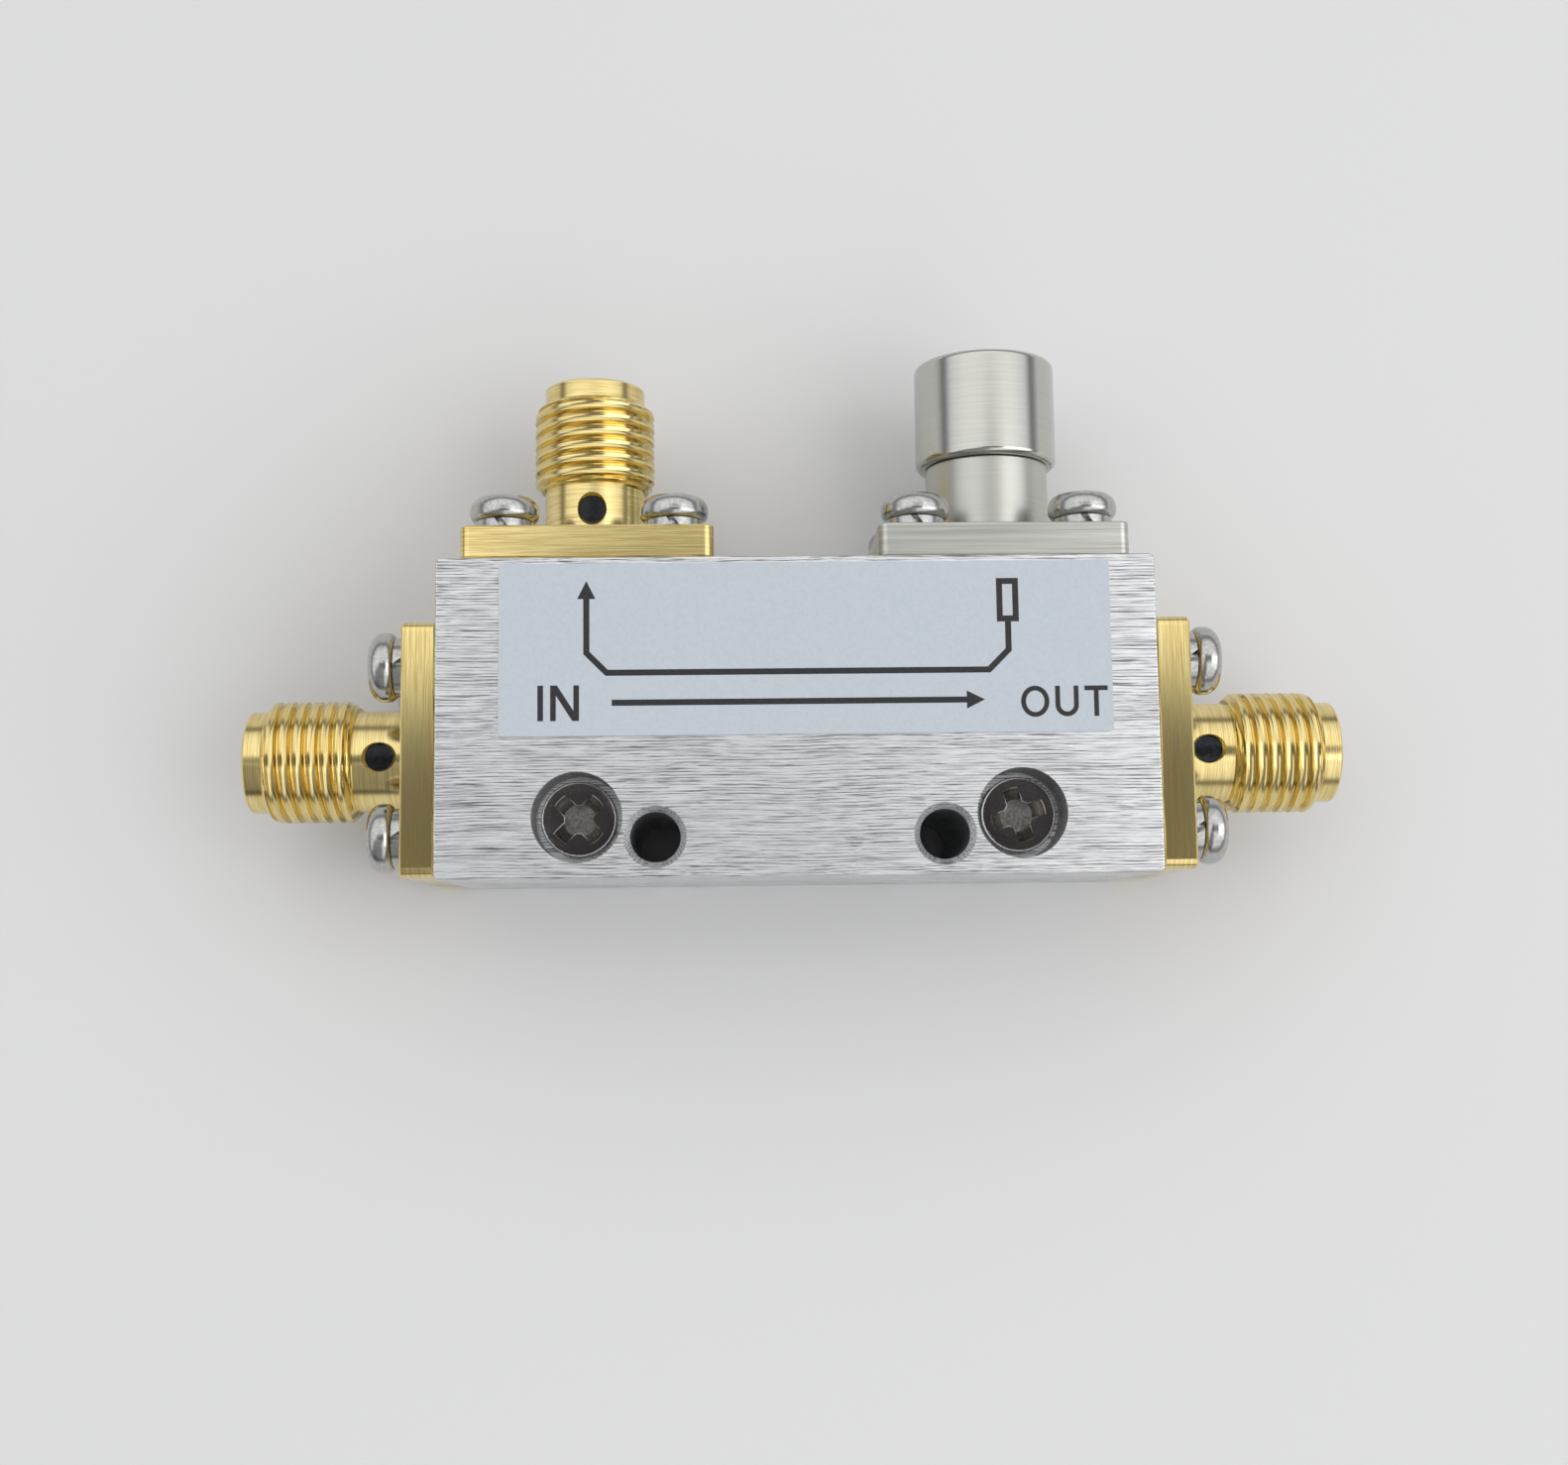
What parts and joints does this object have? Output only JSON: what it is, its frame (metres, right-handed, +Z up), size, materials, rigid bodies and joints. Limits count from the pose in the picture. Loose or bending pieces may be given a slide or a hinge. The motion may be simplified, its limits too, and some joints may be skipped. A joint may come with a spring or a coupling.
{
  "type": "directional coupler",
  "caption": "Rectangular metal coaxial coupler with threaded jacks on its sides and back, a fixed load and a label, which samples the signal on a line.",
  "frame": {"origin": "centre of the housing's bottom face", "axes": "+X along the housing from the input jack to the output jack, +Y to the back, where the coupled jack and the load are, +Z up out of the labelled face"},
  "size_m": [0.0568, 0.0276, 0.0131],
  "materials": {
    "housing": "fine brushed",
    "dark_screw": "dark",
    "label": "satin print film",
    "board": "matte",
    "film": "matte",
    "copper": "etched copper",
    "gold": "gold plated",
    "ptfe": "matte",
    "resin": "glossy",
    "fastener": "bright",
    "load": "satin passivated",
    "rod": "matte ceramic"
  },
  "bodies": {
    "root": {"lower_housing": "housing", "upper_housing": "housing", "closing_screws": "dark_screw", "label": "label", "lower_board": "board", "circuit_film": "film", "main_line": "copper", "coupled_line": "copper", "upper_board": "board", "input_shell": "gold", "input_insulator": "ptfe", "input_contact": "gold", "input_epoxy": "resin", "input_screws": "fastener", "input_washers": "fastener", "output_shell": "gold", "output_insulator": "ptfe", "output_contact": "gold", "output_epoxy": "resin", "output_screws": "fastener", "output_washers": "fastener", "coupled_shell": "gold", "coupled_insulator": "ptfe", "coupled_contact": "gold", "coupled_epoxy": "resin", "coupled_screws": "fastener", "coupled_washers": "fastener", "load_body": "load", "load_cap": "load", "load_insulator": "ptfe", "load_pin": "gold", "load_resistor": "rod", "load_screws": "fastener", "load_washers": "fastener"}
  },
  "joints": []
}
